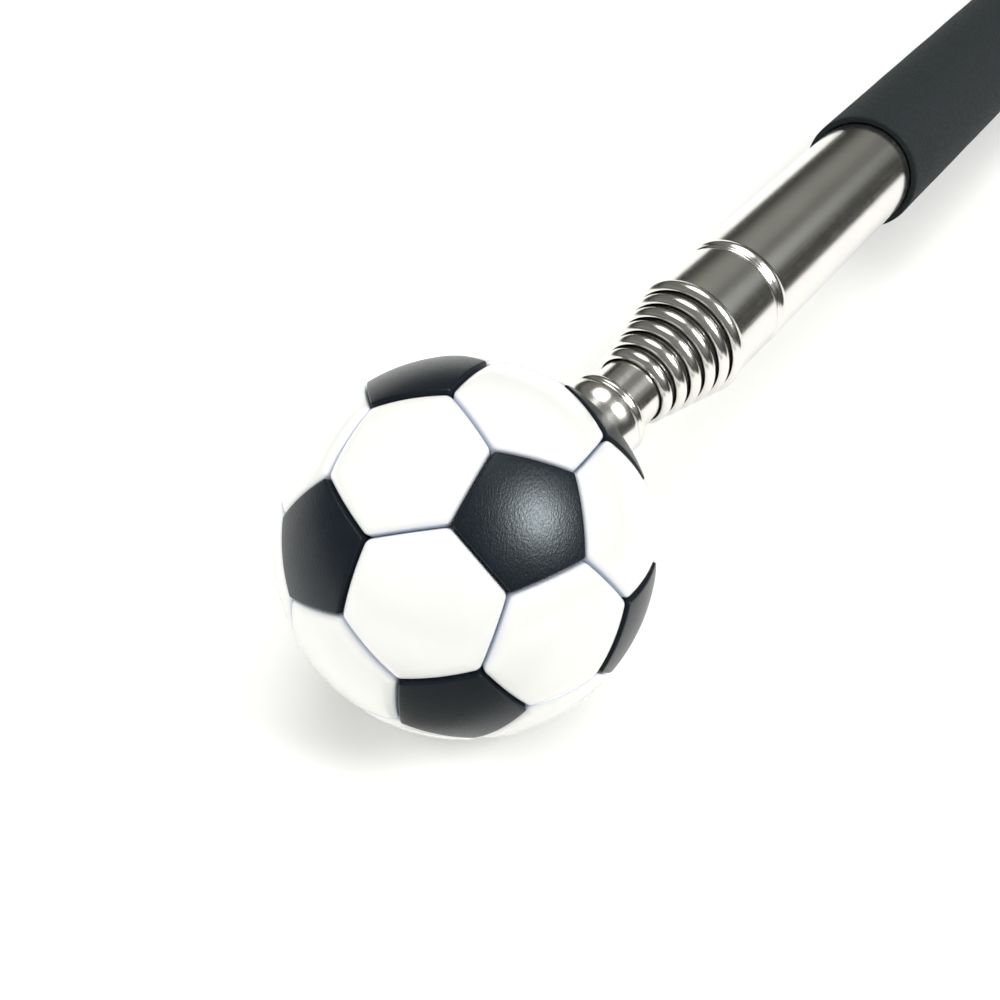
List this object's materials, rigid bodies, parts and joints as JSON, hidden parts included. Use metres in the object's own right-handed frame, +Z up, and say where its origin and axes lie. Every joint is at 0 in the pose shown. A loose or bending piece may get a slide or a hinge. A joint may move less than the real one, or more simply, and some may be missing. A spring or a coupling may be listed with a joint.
{
  "type": "telescopic magnetic pickup tool",
  "caption": "Telescopic magnetic pickup tool: a black and white panelled ball head with a magnet inside, on chromed sections that slide into a handle with a foam grip.",
  "frame": {"origin": "on the table, under the middle of the closed tool's bounding box", "axes": "+Z up, +X from the ball towards the end of the handle, +Y to the left when looking along +X"},
  "size_m": [0.209, 0.032, 0.032],
  "materials": {
    "white_panel": "glossy white moulded plastic",
    "black_inlay": "satin black plastic with a fine leather grain",
    "core_plastic": "plain moulded plastic",
    "chrome": "bright chrome plate on drawn tube",
    "plated_steel": "zinc plated",
    "magnet_nickel": "nickel plated magnet",
    "brass": "turned",
    "grip_foam": "matt dense foam rubber",
    "cap_plastic": "matt moulded plastic"
  },
  "bodies": {
    "handle": {"handle_tube": "chrome", "foam_grip": "grip_foam", "end_cap": "cap_plastic", "rear_plug": "cap_plastic"},
    "section_6": {"tube_6": "chrome", "friction_bush_6": "brass"},
    "section_5": {"tube_5": "chrome", "friction_bush_5": "brass"},
    "section_4": {"tube_4": "chrome", "friction_bush_4": "brass"},
    "section_3": {"tube_3": "chrome", "friction_bush_3": "brass"},
    "section_2": {"tube_2": "chrome", "friction_bush_2": "brass"},
    "rod_bush": {"friction_bush_1": "brass"},
    "head": {"inner_rod": "chrome", "ferrule": "chrome", "stud": "plated_steel", "head_insert": "brass", "core_shell_rear": "core_plastic", "core_shell_front": "core_plastic", "magnet": "magnet_nickel", "magnet_cup": "plated_steel", "magnet_socket": "core_plastic", "white_panel_01": "white_panel", "white_panel_02": "white_panel", "white_panel_03": "white_panel", "white_panel_04": "white_panel", "white_panel_05": "white_panel", "white_panel_06": "white_panel", "white_panel_07": "white_panel", "white_panel_08": "white_panel", "white_panel_09": "white_panel", "white_panel_10": "white_panel", "white_panel_11": "white_panel", "white_panel_12": "white_panel", "white_panel_13": "white_panel", "white_panel_14": "white_panel", "white_panel_15": "white_panel", "white_panel_16": "white_panel", "white_panel_17": "white_panel", "white_panel_18": "white_panel", "white_panel_19": "white_panel", "white_panel_20": "white_panel", "black_inlay_01": "black_inlay", "black_inlay_02": "black_inlay", "black_inlay_03": "black_inlay", "black_inlay_04": "black_inlay", "black_inlay_05": "black_inlay", "black_inlay_06": "black_inlay", "black_inlay_07": "black_inlay", "black_inlay_08": "black_inlay", "black_inlay_09": "black_inlay", "black_inlay_10": "black_inlay", "black_inlay_11": "black_inlay", "black_inlay_12": "black_inlay"}
  },
  "joints": [
    {"name": "slide_6", "type": "slide", "parent": "handle", "child": "section_6", "axis": [-0.9989, 0, 0.0462], "range_m": [0, 0.1355]},
    {"name": "slide_5", "type": "slide", "parent": "section_6", "child": "section_5", "axis": [-0.9989, 0, 0.0462], "range_m": [0, 0.127]},
    {"name": "slide_4", "type": "slide", "parent": "section_5", "child": "section_4", "axis": [-0.9989, 0, 0.0462], "range_m": [0, 0.1185]},
    {"name": "slide_3", "type": "slide", "parent": "section_4", "child": "section_3", "axis": [-0.9989, 0, 0.0462], "range_m": [0, 0.11]},
    {"name": "slide_2", "type": "slide", "parent": "section_3", "child": "section_2", "axis": [-0.9989, 0, 0.0462], "range_m": [0, 0.101]},
    {"name": "slide_1", "type": "slide", "parent": "section_2", "child": "rod_bush", "axis": [-0.9989, 0, 0.0462], "range_m": [0, 0.0925]},
    {"name": "head_turn", "type": "hinge", "parent": "rod_bush", "child": "head", "pos_m": [0.03132, 0, 0.01044], "axis": [-0.9989, 0, 0.0462], "continuous": true}
  ]
}
